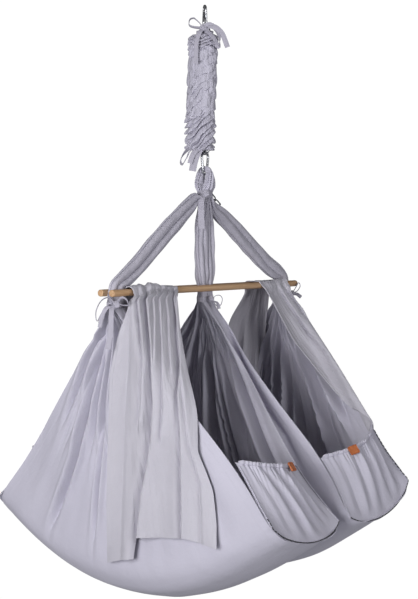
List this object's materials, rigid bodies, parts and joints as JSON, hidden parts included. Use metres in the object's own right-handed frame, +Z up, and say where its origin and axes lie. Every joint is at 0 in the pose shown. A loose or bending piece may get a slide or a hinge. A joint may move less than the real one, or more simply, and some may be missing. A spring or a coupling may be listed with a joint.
{
  "type": "hanging baby cradle",
  "caption": "Spring-hung twin sling cradle: cloth beds side by side, gathered between wooden rods, cloth arms up to a snap hook, covered spring and ceiling hook.",
  "frame": {"origin": "where the ceiling hook bears, at the top of the space inside the top snap hook", "axes": "+X along the rods towards the right bed, -Y towards the foot ends of the beds, +Z up"},
  "size_m": [0.8066, 0.8122, 1.3974],
  "materials": {
    "hook_steel": "bright plated steel wire",
    "spring_steel": "plain spring steel wire",
    "sling_cloth": "washed cotton canvas, light lilac grey",
    "veil_cloth": "softer thinner cotton, light lilac grey",
    "ribbon": "flat cotton tie band",
    "mattress_cloth": "undyed cotton cover over soft filling",
    "rod_wood": "smooth pale beech",
    "tab_leather": "bare orange-brown leather"
  },
  "bodies": {
    "top_hook_body": {"top_hook": "hook_steel", "top_hook_pin": "hook_steel"},
    "top_gate": {"top_hook_gate": "hook_steel"},
    "spring_body": {"spring": "spring_steel", "spring_cover": "sling_cloth", "cover_top_tie": "ribbon"},
    "spring_end": {"cover_bottom_tie": "ribbon"},
    "lower_hook_body": {"lower_hook": "hook_steel", "lower_hook_pin": "hook_steel"},
    "lower_gate": {"lower_hook_gate": "hook_steel"},
    "cradle": {"hanging_loop": "sling_cloth", "apex_tie": "ribbon", "left_outer_arm": "sling_cloth", "left_inner_arm": "sling_cloth", "right_inner_arm": "sling_cloth", "right_outer_arm": "sling_cloth", "upper_link": "hook_steel", "lower_link": "hook_steel", "front_rod": "rod_wood", "rear_rod": "rod_wood", "left_rod_tie": "ribbon", "centre_rod_tie": "ribbon", "right_rod_tie": "ribbon", "left_outer_side": "sling_cloth", "left_inner_side": "sling_cloth", "left_base": "sling_cloth", "left_foot_pocket": "sling_cloth", "left_foot_hem": "sling_cloth", "left_head_pocket": "sling_cloth", "left_head_hem": "sling_cloth", "left_tab": "tab_leather", "left_mattress": "mattress_cloth", "right_outer_side": "sling_cloth", "right_inner_side": "sling_cloth", "right_base": "sling_cloth", "right_foot_pocket": "sling_cloth", "right_foot_hem": "sling_cloth", "right_head_pocket": "sling_cloth", "right_head_hem": "sling_cloth", "right_tab": "tab_leather", "right_mattress": "mattress_cloth", "left_veil": "veil_cloth", "right_veil": "veil_cloth"}
  },
  "joints": [
    {"name": "top_gate_hinge", "type": "hinge", "parent": "top_hook_body", "child": "top_gate", "pos_m": [-0.0079, -0.0029, -0.00705], "axis": [0.342, -0.9397, 0], "range_deg": [0, 20], "stiffness_Nm_per_rad": 0.02, "springref_deg": -20.05},
    {"name": "spring_swing", "type": "hinge", "parent": "top_hook_body", "child": "spring_body", "pos_m": [0, 0, -0.051], "axis": [0.9397, 0.342, 0], "range_deg": [-15, 15]},
    {"name": "spring_stretch", "type": "slide", "parent": "spring_body", "child": "spring_end", "axis": [0, 0, -1], "range_m": [0, 0.15], "stiffness_N_per_m": 700, "springref_m": -0.12, "deforming": ["spring", "spring_cover"]},
    {"name": "lower_hook_swing", "type": "hinge", "parent": "spring_end", "child": "lower_hook_body", "pos_m": [0, 0, -0.3538], "axis": [0, 1, 0], "range_deg": [-15, 15]},
    {"name": "lower_gate_hinge", "type": "hinge", "parent": "lower_hook_body", "child": "lower_gate", "pos_m": [-0.0084, 0, -0.39135], "axis": [0, 1, 0], "range_deg": [0, 20], "stiffness_Nm_per_rad": 0.02, "springref_deg": -20.05},
    {"name": "cradle_swing", "type": "hinge", "parent": "lower_hook_body", "child": "cradle", "pos_m": [0, 0, -0.4022], "axis": [1, 0, 0], "range_deg": [-15, 15]}
  ]
}
